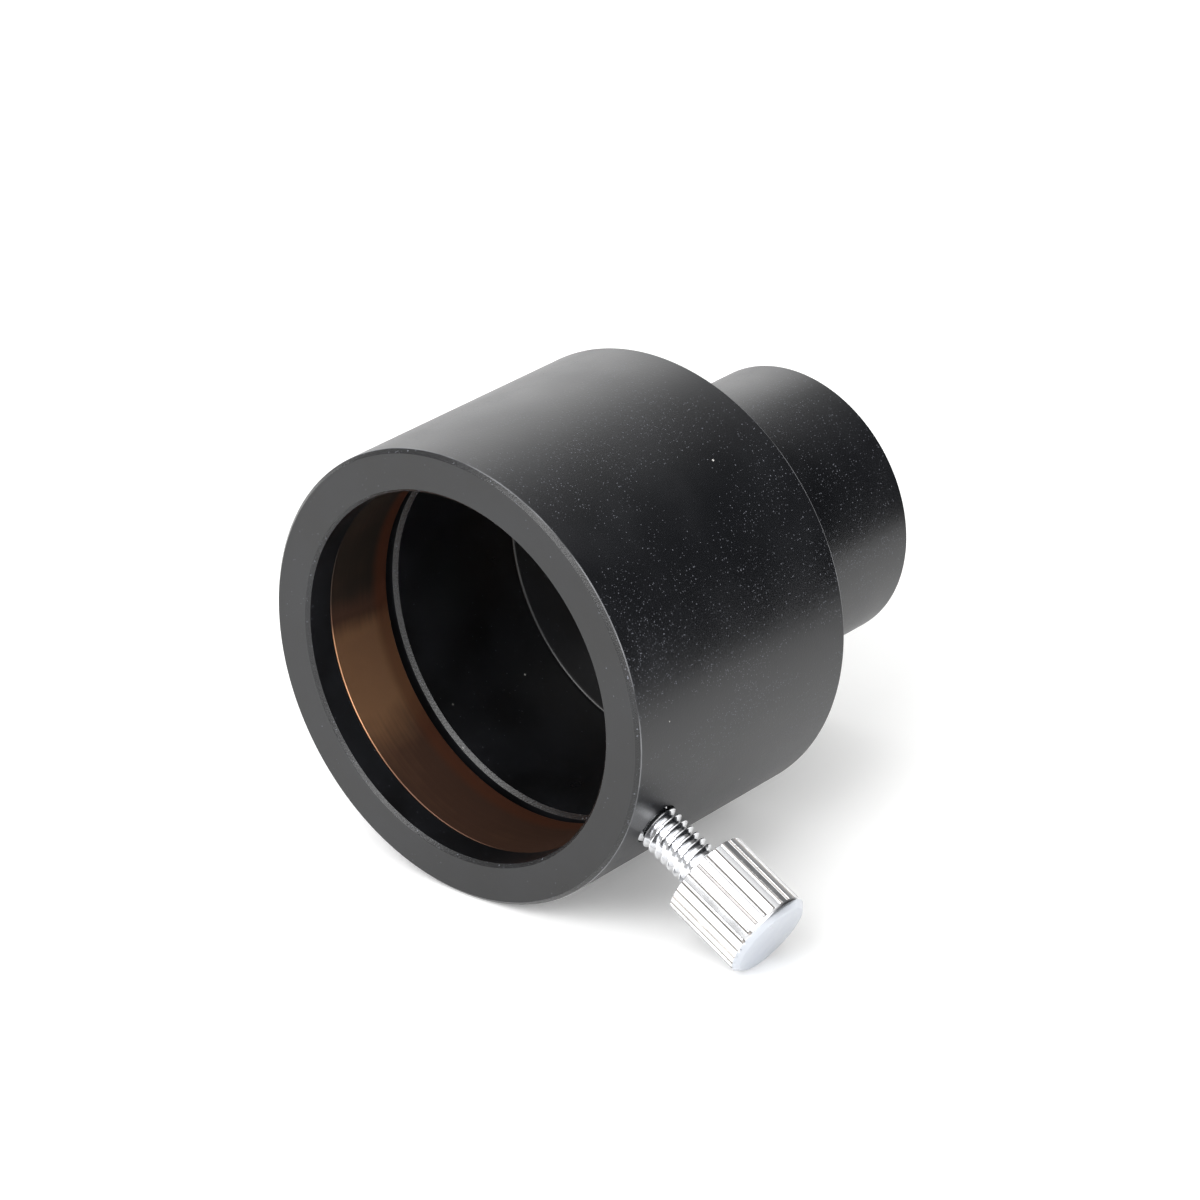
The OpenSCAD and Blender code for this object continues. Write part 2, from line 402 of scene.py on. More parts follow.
# %% Tarnished brass, for the clamping band
# heights above the optical axis between which the band is made bright, partly as rubbing by eyepieces and
# partly as painted light, in mm
RUB_AND_LIGHT_STARTS, RUB_AND_LIGHT_FULL, RUB_AND_LIGHT_FADES, RUB_AND_LIGHT_FOOT = 2.5, -5.5, -4.5, -13.0
# how far from the band's rear edge the red starts and where it is strongest, in mm
RED_STARTS, RED_FULL = 2.1, 0.9


def tarnished_brass():
    """Brown oxide over brass: streaked round the band, blotched, and coppery low down, partly from
    rubbing and partly as painted light.
    """
    made, tree, shader, place = new_material("tarnished_brass", Metallic=0.9)
    # streaks: 0.35 mm wide across the strip, and stretched to some 12 mm along it
    stretch = add(tree, "ShaderNodeMapping",
                  {"Vector": place, "Scale": (per_metre(12), per_metre(0.35), per_metre(12))})
    streaks = add(tree, "ShaderNodeTexNoise",
                  {"Vector": stretch.outputs[0], "Scale": 1.0, "Detail": 4.0})
    blotch = add(tree, "ShaderNodeTexNoise",
                 {"Vector": place, "Scale": per_metre(7.0), "Detail": 3.0})
    along = add(tree, "ShaderNodeSeparateXYZ", {"Vector": place})
    # brighter just below the middle: partly where eyepieces rest on the lower half and rub it, partly
    # painted light, with painted shade above
    rubbed_and_lit = add(tree, "ShaderNodeMapRange",
                 {"Value": along.outputs["Z"], "From Min": RUB_AND_LIGHT_STARTS * MM, "From Max": RUB_AND_LIGHT_FULL * MM},
                 interpolation_type="SMOOTHSTEP")
    fading = add(tree, "ShaderNodeMapRange",
                 {"Value": along.outputs["Z"], "From Min": RUB_AND_LIGHT_FADES * MM, "From Max": RUB_AND_LIGHT_FOOT * MM,
                  "To Min": 1.0, "To Max": 0.3},
                 interpolation_type="SMOOTHSTEP")
    worn = add(tree, "ShaderNodeMath", {0: rubbed_and_lit.outputs["Result"], 1: fading.outputs["Result"]},
               operation="MULTIPLY")
    mixed = add(tree, "ShaderNodeMath", {0: blotch.outputs["Fac"], 1: 0.35, 2: worn.outputs[0]},
                operation="MULTIPLY_ADD")
    lined = add(tree, "ShaderNodeMath", {0: streaks.outputs["Fac"], 1: 0.12, 2: mixed.outputs[0]},
                operation="MULTIPLY_ADD")
    # from brown oxide, where it is neither rubbed nor painted lit, to coppery metal
    tone = add(tree, "ShaderNodeValToRGB", {"Fac": lined.outputs[0]},
               stops=[(0.2, linear("#463e38")), (0.55, linear("#78594a")), (0.95, linear("#e6ad83"))])
    red_edge = add(tree, "ShaderNodeMapRange",
                   {"Value": along.outputs["Y"], "From Min": (band_end - RED_STARTS) * MM,
                    "From Max": (band_end - RED_FULL) * MM, "To Min": 0.0, "To Max": 0.5},
                   interpolation_type="SMOOTHSTEP")
    colour = add(tree, "ShaderNodeMix",
                 {0: red_edge.outputs["Result"], 6: tone.outputs["Color"], 7: linear("#94563a")},
                 data_type="RGBA")
    tree.links.new(colour.outputs[2], shader.inputs["Base Color"])
    # the more it is rubbed and painted lit, the shinier it is
    shine = add(tree, "ShaderNodeMapRange",
                {"Value": lined.outputs[0], "From Min": 0.3, "From Max": 1.0, "To Min": 0.5,
                 "To Max": 0.32},
                interpolation_type="SMOOTHSTEP")
    tree.links.new(shine.outputs["Result"], shader.inputs["Roughness"])
    bump = add(tree, "ShaderNodeBump",
               {"Height": streaks.outputs["Fac"], "Strength": 0.12, "Distance": 0.03 * MM})
    tree.links.new(bump.outputs["Normal"], shader.inputs["Normal"])
    return made


band_brass = tarnished_brass()
print("tarnished brass ready")

# %% [markdown]
# ## Bright chrome plate
# The thumbscrew is brass with bright nickel and chrome on it. Chrome is a mirror with a cool
# tint. The thread is as bright as the plating bath leaves it, the knurl is duller from the
# wheel that pressed it, the end of the head is a softer satin whose grey is partly painted
# shade for the shadowed card it mirrors, and the sides of the grooves are darker and browner.

# %% Chrome plate and plain brass
def chrome_plate(name, tint, roughness):
    """Plated metal: a mirror that is a little hazy in patches, over a very fine grain."""
    made, tree, shader, place = new_material(name, Base_Color=linear(tint), Metallic=1.0)
    haze = add(tree, "ShaderNodeTexNoise", {"Vector": place, "Scale": per_metre(1.3), "Detail": 3.0})
    dull = add(tree, "ShaderNodeMapRange",
               {"Value": haze.outputs["Fac"], "From Min": 0.3, "From Max": 0.7,
                "To Min": roughness * 0.8, "To Max": roughness * 1.25})
    tree.links.new(dull.outputs["Result"], shader.inputs["Roughness"])
    grain = add(tree, "ShaderNodeTexNoise", {"Vector": place, "Scale": per_metre(0.3), "Detail": 2.0})
    bump = add(tree, "ShaderNodeBump",
               {"Height": grain.outputs["Fac"], "Strength": 0.12, "Distance": 0.01 * MM})
    tree.links.new(bump.outputs["Normal"], shader.inputs["Normal"])
    return made


def turned_brass():
    """Clean brass off the lathe: yellow and fairly bright, with slightly duller spots."""
    made, tree, shader, place = new_material("turned_brass", Metallic=1.0)
    spots = add(tree, "ShaderNodeTexNoise", {"Vector": place, "Scale": per_metre(1.5), "Detail": 4.0})
    tone = add(tree, "ShaderNodeValToRGB", {"Fac": spots.outputs["Fac"]},
               stops=[(0.35, linear("#c79a4b")), (0.7, linear("#e0bf72"))])
    tree.links.new(tone.outputs["Color"], shader.inputs["Base Color"])
    dull = add(tree, "ShaderNodeMapRange",
               {"Value": spots.outputs["Fac"], "To Min": 0.2, "To Max": 0.4})
    tree.links.new(dull.outputs["Result"], shader.inputs["Roughness"])
    return made


# the thread: a clear mirror
bright_chrome = chrome_plate("chrome_plate_bright", "#f4f5f7", 0.11)
# the ridges of the knurl: as pale, with softer reflections
knurled_chrome = chrome_plate("chrome_plate_knurled", "#f4f5f7", 0.24)
# the end of the head: a cool, even grey, partly satin and partly painted shade for the shadowed card that
# it mirrors
satin_and_shade_chrome = chrome_plate("chrome_plate_satin_and_shade", "#cdd1d8", 0.32)
# the sides of the grooves: dull, darker and a little brown
groove_side_chrome = chrome_plate("chrome_plate_groove_sides", "#8f8b88", 0.45)
plain_brass = turned_brass()
print("chrome and brass ready")

# %% [markdown]
# ## Coated glass
# Each lens is clear glass with a thin coating that cuts reflections, which leaves a faint
# blue or violet cast on the glint. Principled glass has a thin film of its own, so the
# coating is set by its real thickness and index. The ground rim is painted black, to stop
# light that would scatter from it.

# %% Glass, its painted rim, and the blackened cell
# magnesium fluoride, the usual coating
COATING_IOR = 1.38


def coated_glass(name, index, film_nm):
    """Clear coated glass, with faint smears where a cloth has wiped it."""
    made, tree, shader, place = new_material(
        name, Base_Color=linear("#f6fbfa"), Roughness=0.0, IOR=index, Transmission_Weight=1.0,
        Thin_Film_Thickness=film_nm, Thin_Film_IOR=COATING_IOR)
    wiped = add(tree, "ShaderNodeTexNoise", {"Vector": place, "Scale": per_metre(4.0), "Detail": 3.0})
    dull = add(tree, "ShaderNodeMapRange",
               {"Value": wiped.outputs["Fac"], "From Min": 0.4, "From Max": 0.8, "To Min": 0.0,
                "To Max": 0.015})
    tree.links.new(dull.outputs["Result"], shader.inputs["Roughness"])
    return made


def rim_lacquer():
    """Matte black lacquer over ground glass: a grainy dull black."""
    made, tree, shader, place = new_material("rim_lacquer", Base_Color=linear("#121212"),
                                             Roughness=0.7)
    grain = add(tree, "ShaderNodeTexNoise", {"Vector": place, "Scale": per_metre(0.1), "Detail": 2.0})
    bump = add(tree, "ShaderNodeBump",
               {"Height": grain.outputs["Fac"], "Strength": 0.4, "Distance": 0.02 * MM})
    tree.links.new(bump.outputs["Normal"], shader.inputs["Normal"])
    return made


crown_glass = coated_glass("crown_glass", 1.517, 100.0)
flint_glass = coated_glass("flint_glass", 1.62, 110.0)
painted_rim = rim_lacquer()
# the cell and its ring: a flat dark grey with rings from the tool
cell_black = anodised("blackened_aluminium", "#101012", 0.42, grain_mm=0.1, grain_depth=0.15,
                      clean=0.9, turned=True)
print("glass, lacquer and blackened aluminium ready")

# %% [markdown]
# ## Putting finishes on
# Most pieces have more than one finish, such as a blasted outside and a turned face. They
# stay one solid piece, and a rule on where each face lies picks its finish.

# %% Choose a finish for each face
# how far a face's middle may lie from a flat or a corner and still belong to it, in mm
HAIR = 0.02
# how far past a wall a rule reaches to take in the whole of it, in mm
SLACK = 0.1


def paint(piece, base, *rules, place=OPTICS):
    """Gives piece its base material, then each (material, rule) to the faces the rule accepts.
    A rule takes a face's middle as (distance from place's axis, distance along it), in mm."""
    piece.data.materials.clear()
    for material in (base, *(m for m, _ in rules)):
        piece.data.materials.append(material)
    into = place.inverted()
    for face in piece.data.polygons:
        middle = into @ face.center / MM
        from_axis = math.hypot(middle.x, middle.y)
        face.material_index = 0
        for number, (_, rule) in enumerate(rules, 1):
            if rule(from_axis, middle.z):
                face.material_index = number
    return piece


def keep(piece, body, slot, *nodes):
    """Rides piece on its body, hides the imported parts that it replaces, and reports it."""
    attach(piece, body)
    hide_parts(*nodes)
    print(f"{piece.name}: {len(piece.data.polygons)} faces on {body}")
    return piece


# %% [markdown]
# ## The eyepiece holder
# This is the wide black sleeve. Its outline is one turned section: a flat front face, a
# chamfer each side of it, a groove inside for the brass band, and a wider thread at the back
# that takes the nosepiece. A hole for the thumbscrew is drilled through its wall.

# %% Build the holder
GROOVE_START, GROOVE_END, GROOVE_R = 2.7, 10.6, 17.35
RIM_CHAMFER, MOUTH_CHAMFER, GROOVE_CHAMFER = 0.35, 0.3, 0.35
THREAD_GAP = 0.03
REAR_THREAD_R = skirt_r + THREAD_GAP
# how round an ordinary edge is, and one that hands have worn, in mm
EDGE, WORN_EDGE = 0.05, 0.14
# how far the worn arc goes either side of its corner, and how deep it cuts, in mm
WORN_REACH, WORN_DEPTH = 0.05, 0.04
SCREW_HOLE_R = 2.0
# two extra rows this far either side of the screw's hole keep the faces round it short
HOLE_ROWS = 2.75
screw_at = screw_y / MM

holder = lathe("holder_sleeve", eased([
    (bore_r + MOUTH_CHAMFER, 0, EDGE),
    (holder_r - RIM_CHAMFER, 0, EDGE),
    (holder_r, RIM_CHAMFER, WORN_EDGE),
    (holder_r, screw_at - HOLE_ROWS, 0),
    (holder_r, screw_at + HOLE_ROWS, 0),
    (holder_r, holder_end - RIM_CHAMFER, WORN_EDGE),
    (holder_r - RIM_CHAMFER, holder_end, EDGE),
    (REAR_THREAD_R, holder_end, EDGE),
    (REAR_THREAD_R, skirt_start, 0),
    (bore_r, skirt_start, 0),
    (bore_r, GROOVE_END + GROOVE_CHAMFER, EDGE),
    (bore_r + GROOVE_CHAMFER, GROOVE_END, EDGE),
    (GROOVE_R, GROOVE_END, EDGE),
    (GROOVE_R, GROOVE_START, EDGE),
    (bore_r, GROOVE_START, EDGE),
    (bore_r, MOUTH_CHAMFER, EDGE),
]), steps=256)
drill = lathe("drill", [(0, bore_r), (SCREW_HOLE_R, bore_r), (SCREW_HOLE_R, holder_r + 1),
                        (0, holder_r + 1)], place=SCREW, steps=64)
combine(holder, drill)
front_worn, rear_worn = RIM_CHAMFER, holder_end - RIM_CHAMFER
paint(holder, blasted_black,
      (turned_black, lambda r, y: y < HAIR),
      (chamfer_black, lambda r, y: HAIR <= y < RIM_CHAMFER and r > holder_r - RIM_CHAMFER),
      (chamfer_black, lambda r, y: HAIR <= y < MOUTH_CHAMFER and r < bore_r + MOUTH_CHAMFER),
      (shaded_bore_black, lambda r, y: MOUTH_CHAMFER < y < holder_end - SLACK and r < GROOVE_R + SLACK),
      (worn_black, lambda r, y: r > holder_r - WORN_DEPTH and abs(y - front_worn) < WORN_REACH),
      (worn_black, lambda r, y: r > holder_r - WORN_DEPTH and abs(y - rear_worn) < WORN_REACH),
      (chamfer_black, lambda r, y: GROOVE_END + HAIR < y < GROOVE_END + GROOVE_CHAMFER + HAIR
       and r < bore_r + GROOVE_CHAMFER - HAIR))
flatter_shading(holder)
keep(holder, "barrel", "anodised_aluminium", "eyepiece_holder")

# %% [markdown]
# ## The nosepiece
# The nose is a second turned tube. A threaded skirt screws it into the back of the holder,
# and the flat shoulder inside it is the floor of the socket. The far end is bored out for
# the lens cell.

# %% Build the nosepiece
NOSE_R = 12.2
NOSE_BORE_R = 10.6
NOSE_CHAMFER = 0.4
FLOOR_THICK = 1.0
FLOOR = holder_end - FLOOR_THICK
FLOOR_FILLET = 0.3
SEAT_R = cell_r + THREAD_GAP

nose = lathe("nose_tube", eased([
    (NOSE_BORE_R, FLOOR, EDGE),
    (bore_r, FLOOR, FLOOR_FILLET),
    (bore_r, skirt_start, 0),
    (skirt_r, skirt_start, 0),
    (skirt_r, holder_end, EDGE),
    (NOSE_R, holder_end, 0),
    (NOSE_R, nose_end - NOSE_CHAMFER, EDGE),
    (NOSE_R - NOSE_CHAMFER, nose_end, EDGE),
    (SEAT_R, nose_end, EDGE),
    (SEAT_R, cell_start, 0),
    (NOSE_BORE_R, cell_start, 0),
]))
in_floor = holder_end - FLOOR_THICK / 2
paint(nose, blasted_black,
      (turned_black, lambda r, y: abs(y - holder_end) < HAIR or abs(y - nose_end) < HAIR),
      (shaded_bore_black, lambda r, y: r < bore_r + SLACK and y < in_floor),
      (shaded_bore_black, lambda r, y: r < SEAT_R + SLACK and in_floor < y < nose_end - SLACK))
flatter_shading(nose)
keep(nose, "barrel", "anodised_aluminium", "nosepiece")

# %% [markdown]
# ## The brass band
# A strip of brass bent round into a split ring lies in the holder's groove. The thumbscrew
# pushes it, and it spreads the pressure so the eyepiece isn't marked. It is swept almost all
# the way round, and the gap is the split.

# %% Build the band
# degrees above +X, and mm
SPLIT_AT = 65.0
SPLIT_WIDTH = 2.0
BAND_THICK = 0.7
BAND_EDGE = 0.12
inner_r = band_r - BAND_THICK
gap = math.degrees(SPLIT_WIDTH / inner_r)
# own angles run from +X down towards -Z, so a split above +X is at a negative one
band = lathe("clamp_band_strip", eased([
    (inner_r, band_start, BAND_EDGE),
    (band_r, band_start, BAND_EDGE),
    (band_r, band_end, BAND_EDGE),
    (inner_r, band_end, BAND_EDGE),
]), start=-SPLIT_AT + gap / 2, sweep=360 - gap, steps=240)
paint(band, band_brass)
flatter_shading(band)
keep(band, "clamp_band", "tarnished_brass", "compression_ring")

# %% [markdown]
# ## The thumbscrew's head
# The grip is a straight knurl: narrow grooves with flat ridges left between them. A row of
# rings round the screw's axis makes it, and where the knurl runs, each ring dips at every
# groove. The grooves fade out just short of the end, which is chamfered and very slightly
# domed.

# %% Build the head
HEAD_R = 3.9
HEAD_START, HEAD_END = 25.4, 33.0
HEAD_CHAMFER = 0.5
# the back of the head is flat from its middle to this far short of the rim, which is eased
BACK_MARGIN, BACK_EDGE = 0.5, 0.04
DOME = 0.1
GROOVES = 27
GROOVE_DEPTH = 0.2
GROOVE_WIDTH = 0.38
KNURL_END = 32.3
RUN_OUT = 0.12

# where the samples of one groove and its ridge lie, as a share of the pitch between grooves
half_groove = GROOVE_WIDTH / 2 / (2 * math.pi * HEAD_R / GROOVES)
across_groove = [-1, -0.96, -0.8, -0.5, 0, 0.5, 0.8, 0.96, 1]
samples = [half_groove * u for u in across_groove] + [0.3, 0.5, 0.7]
# the knurling wheel sat slightly askew, so on one side the grooves run out through the chamfer
LOW_SIDE = math.radians(225)
# how quickly the low side takes over, where 1 would reach it at a single point only
LOW_SPREAD = 1.6


def groove_depth(share):
    """How deep the knurl is at this share of a pitch, from 0 on a ridge to 1 in a groove."""
    u = (share - round(share)) / half_groove
    return max(0.0, 1 - u * u)


def knurled_head():
    """The head, ring by ring along the screw's axis, with its knurl."""
    rim = HEAD_R - HEAD_CHAMFER
    chamfer = HEAD_END - HEAD_CHAMFER
    # height, radius, and how far the grooves are cut on the high side and on the low side
    rows = [
        (HEAD_START, HEAD_R - BACK_MARGIN, 0, 0),
        (HEAD_START, HEAD_R - BACK_EDGE, 1, 1),
        (HEAD_START + BACK_EDGE, HEAD_R, 1, 1),
        (KNURL_END - RUN_OUT, HEAD_R, 1, 1),
        (KNURL_END - RUN_OUT / 3, HEAD_R, 0.6, 1),
        (KNURL_END, HEAD_R, 0, 1),
        (chamfer - 0.03, HEAD_R, 0, 1),
        (chamfer + 0.02, HEAD_R - 0.02, 0, 0.9),
        (chamfer + 0.2, HEAD_R - 0.2, 0, 0),
        (HEAD_END - 0.05, rim + 0.05, 0, 0),
        (HEAD_END - 0.02, rim + 0.01, 0, 0),
        (HEAD_END, rim - 0.06, 0, 0),
    ]
    # the dome, ring by ring, towards the middle
    rows += [(HEAD_END + DOME * (1 - s * s), rim * s, 0, 0) for s in (0.9, 0.7, 0.45, 0.2)]
    bm = bmesh.new()
    turns = [2 * math.pi * (g + s) / GROOVES for g in range(GROOVES) for s in samples]
    depths = [groove_depth(s) for _ in range(GROOVES) for s in samples]
    lows = [min(1, LOW_SPREAD * max(0, math.cos(a - LOW_SIDE))) for a in turns]
    rings = []
    for h, r, high_share, low_share in rows:
        shares = [high_share + (low_share - high_share) * low for low in lows]
        radii = [r - GROOVE_DEPTH * share * d for share, d in zip(shares, depths)]
        rings.append([bm.verts.new((q * math.cos(a), q * math.sin(a), h))
                      for q, a in zip(radii, turns)])
    for below, ring in zip(rings, rings[1:]):
        for j in range(len(turns)):
            k = (j + 1) % len(turns)
            bm.faces.new((below[j], below[k], ring[k], ring[j]))
    for ring, h in ((rings[0], HEAD_START), (rings[-1], HEAD_END + DOME)):
        middle = bm.verts.new((0, 0, h))
        for j in range(len(turns)):
            bm.faces.new((middle, ring[j], ring[(j + 1) % len(turns)]))
    return finish_mesh("thumbscrew_knurled", bm, SCREW)


thumbscrew = knurled_head()
print(f"knurl: {GROOVES} grooves, {len(thumbscrew.data.polygons)} faces")

# %% [markdown]
# ## A real thread
# The screw's thread is a true right-hand helix, as M4 by 0.7 has it. Its rows of vertices
# climb with the angle, and at the seam each row joins the one a full pitch up. The ends are
# then sawn square, and the shank is joined to the head.

# %% Build the thread and join it to the head
PITCH = 0.7
CREST_R = 1.925
# a metric thread is cut this deep
THREAD_DEPTH = 0.6134 * PITCH
ROOT_R = CREST_R - THREAD_DEPTH
SHANK_START = 17.8
# how far along the screw one of the crests lies at the start of its turn
CREST_AT_START = 20.414
THREAD_STEPS = 48
# how far the shank reaches into the head, which joins them
SHANK_OVERLAP = 0.3
STEM_HOLE_R, STEM_HOLE_DEEP = 0.75, 1.4
# one pitch of the thread, as (share of the pitch, radius): a flat crest and a flat root
tooth = [(-0.0625, CREST_R), (0.0625, CREST_R), (0.375, ROOT_R), (0.625, ROOT_R)]


def helix(low, high):
    """A threaded rod from height low to high, with its ends sawn square and closed."""
    bm = bmesh.new()
    first = math.floor((low - CREST_AT_START) / PITCH) - 2
    last = math.ceil((high - CREST_AT_START) / PITCH) + 1
    rows = [(CREST_AT_START + (n + share) * PITCH, r)
            for n in range(first, last) for share, r in tooth]
    columns = []
    for i in range(THREAD_STEPS):
        a = 2 * math.pi * i / THREAD_STEPS
        climb = PITCH * i / THREAD_STEPS
        columns.append([bm.verts.new((r * math.cos(a), r * math.sin(a), h + climb))
                        for h, r in rows])
    for i, column in enumerate(columns):
        seam = i == THREAD_STEPS - 1
        after = columns[0][len(tooth):] if seam else columns[i + 1]
        for j in range(len(rows) - 1 - len(tooth) * seam):
            bm.faces.new((column[j], after[j], after[j + 1], column[j + 1]))
    for height, side in ((low, -1), (high, 1)):
        bmesh.ops.bisect_plane(bm, geom=bm.verts[:] + bm.edges[:] + bm.faces[:],
                               plane_co=(0, 0, height), plane_no=(0, 0, side), clear_outer=True)
    bmesh.ops.holes_fill(bm, edges=[e for e in bm.edges if e.is_boundary])
    return finish_mesh("helix", bm, SCREW)


shank = helix(SHANK_START, HEAD_START + SHANK_OVERLAP)
combine(thumbscrew, shank, "UNION")
stem_hole = lathe("stem_hole", [(0, SHANK_START - 1), (STEM_HOLE_R, SHANK_START - 1),
                                (STEM_HOLE_R, SHANK_START + STEM_HOLE_DEEP),
                                (0, SHANK_START + STEM_HOLE_DEEP)], place=SCREW, steps=32)
combine(thumbscrew, stem_hole)
# a groove's sides lie between these radii
side_low, side_high = HEAD_R - 0.15, HEAD_R - 0.015
paint(thumbscrew, bright_chrome,
      (knurled_chrome, lambda r, h: h > HEAD_START + HAIR / 2 and r > CREST_R + HAIR / 2),
      (groove_side_chrome, lambda r, h: h > HEAD_START and side_low < r < side_high),
      (satin_and_shade_chrome, lambda r, h: h > HEAD_END - HEAD_CHAMFER + HAIR / 2),
      place=SCREW)
flatter_shading(thumbscrew)
keep(thumbscrew, "screw", "chrome_plate", "thumbscrew")

# %% [markdown]
# ## The screw's tip
# A smooth brass pad sits in the end of the screw and doesn't turn with it, so that the
# thread's raw end never scrapes the band. It is a disc with a thin stem.

# %% Build the tip
TIP_START, TIP_PAD, TIP_R, STEM_R, STEM_END = 17.3, 0.45, 1.3, 0.7, 19.0
TIP_EDGE = 0.1
tip = lathe("screw_tip_pad", eased([
    (0, TIP_START, 0),
    (TIP_R, TIP_START, TIP_EDGE),
    (TIP_R, TIP_START + TIP_PAD, EDGE),
    (STEM_R, TIP_START + TIP_PAD, 0),
    (STEM_R, STEM_END, TIP_EDGE),
    (0, STEM_END, 0),
]), place=SCREW, steps=64)
paint(tip, plain_brass)
flatter_shading(tip)
keep(tip, "screw_advance", "turned_brass", "screw_tip")

# %% [markdown]
# ## The lens cell
# The cell is a short blackened tube with a lip. Both lenses drop in from its open end, and
# a threaded ring holds them. A spanner fits the two slots in that end, and a few turns of
# the ring's thread show above the ring.

# %% Build the cell
LIP, POCKET_GAP = 0.8, 0.05
POLISH_R = 9.3
SLOT_WIDTH, SLOT_DEEP = 1.4, 0.7
FINE_PITCH, FINE_DEPTH = 0.25, 0.1
thread_r = ring_r + THREAD_GAP
# the thread starts a little below the ring, and stops a little short of the cell's end
thread_start = ring_start - 0.3
thread_end = cell_end - 0.15
teeth = []
for n in range(int((thread_end - thread_start) / FINE_PITCH)):
    top = thread_end - n * FINE_PITCH
    teeth += [(thread_r, top, 0), (thread_r + FINE_DEPTH, top - FINE_PITCH / 2, 0)]

cell = lathe("lens_cell_tube", eased([
    (POLISH_R, cell_start, EDGE),
    (cell_r, cell_start, EDGE),
    (cell_r, cell_end, EDGE),
    (thread_r + FINE_DEPTH, cell_end, EDGE),
    *teeth,
    (thread_r, thread_start, 0),
    (lens_r + POCKET_GAP, thread_start, 0),
    (lens_r + POCKET_GAP, cell_start + LIP, 0),
    (POLISH_R, cell_start + LIP, EDGE),
]))
combine(cell, bar(2 * cell_r + 2, SLOT_WIDTH, cell_end - SLOT_DEEP, cell_end + 1))
paint(cell, cell_black)
flatter_shading(cell)
keep(cell, "barrel", "blackened_aluminium", "lens_cell")

# %% [markdown]
# ## The lenses
# The crown lens is hollow on both sides, and the front of the flint lens bulges towards its
# back. Each polished face is part of a sphere, so its outline is an arc found from its
# radius, and the thin spacer between them is a plain brass ring.

# %% Build the lenses and the spacer
# the radii of the four polished spheres, front to back
CROWN_FRONT, CROWN_BACK, FLINT_FRONT, FLINT_BACK = 32, 28, 29, 60
CURVE_STEPS = 24
LENS_BEVEL = 0.1
SPACER_EDGE = 0.04


def polished(curve_r, edge_height, bulge):
    """A polished face from its middle out, as (radius, height). bulge is +1 where the middle
    stands above the edge, and -1 where it is below."""
    def rise(r):
        return math.sqrt(curve_r ** 2 - r * r)
    spots = [POLISH_R * i / CURVE_STEPS for i in range(CURVE_STEPS + 1)]
    return [(r, edge_height + bulge * (rise(r) - rise(POLISH_R))) for r in spots]


def lens(name, low_face, high_face, glass):
    """Joins two polished faces with flat, ground margins and a painted rim."""
    low, high = low_face[-1][1], high_face[-1][1]
    rim = [(lens_r - LENS_BEVEL, low), (lens_r, low + LENS_BEVEL),
           (lens_r, high - LENS_BEVEL), (lens_r - LENS_BEVEL, high)]
    piece = lathe(name, low_face + rim + high_face[::-1])
    paint(piece, glass, (painted_rim, lambda r, y: r > POLISH_R + SLACK / 2))
    return piece


crown = lens("crown_element", polished(CROWN_FRONT, crown_start, 1),
             polished(CROWN_BACK, crown_end, -1), crown_glass)
keep(crown, "barrel", "crown_glass", "crown_lens")

flint_edge = crown_end + (spacer_end - spacer_start)
flint = lens("flint_element", polished(FLINT_FRONT, flint_edge, -1),
             polished(FLINT_BACK, flint_end, -1), flint_glass)
keep(flint, "barrel", "flint_glass", "flint_lens")

spacer = lathe("spacer_ring", eased([
    (POLISH_R, spacer_start, SPACER_EDGE),
    (lens_r, spacer_start, SPACER_EDGE),
    (lens_r, spacer_end, SPACER_EDGE),
    (POLISH_R, spacer_end, SPACER_EDGE),
]))
paint(spacer, plain_brass)
keep(spacer, "barrel", "turned_brass", "lens_spacer")

# %% [markdown]
# ## The retaining ring
# A slotted ring screws down on the flint lens. Its inner edge is bevelled, so that the light
# doesn't glance off a square wall.

# %% Build the retaining ring
BEVEL = 0.45
ring = lathe("retaining_ring_slotted", eased([
    (POLISH_R, ring_start, EDGE),
    (ring_r, ring_start, EDGE),
    (ring_r, ring_end, EDGE),
    (POLISH_R + BEVEL, ring_end, EDGE),
    (POLISH_R, ring_end - BEVEL, EDGE),
]))
combine(ring, bar(2 * ring_r + 2, SLOT_WIDTH, ring_end - SLOT_DEEP, ring_end + 1))
paint(ring, cell_black)
flatter_shading(ring)
keep(ring, "barrel", "blackened_aluminium", "lens_retaining_ring")

# %% [markdown]
# ## The white card
# The piece lies on a sheet of white card. It rests on the holder's wall and on the rim of
# the thumbscrew's head, and both touch the same plane. The card is far larger than the
# piece, but it stops a hand's breadth away on the right, so that the tube's flank mirrors
# the dark side of the room and not more white card. The card glows faintly of itself, a
# painted light with no lamp under it, which keeps the shadows pale.

# %% Lay the card
CARD_THICK = 2.0
CARD_CORNER = 30.0
CORNER_STEPS = 8
# the card's four sides, as distances from the origin, in its own turned axes
CARD_RIGHT, CARD_LEFT, CARD_NEAR, CARD_FAR = 112.0, -900.0, -900.0, 900.0
ACROSS_CARD = (1, 1, 0)
# how brightly the card glows of itself: painted light with no lamp behind it, which keeps the shadows
# pale
CARD_PAINTED_GLOW = 0.19


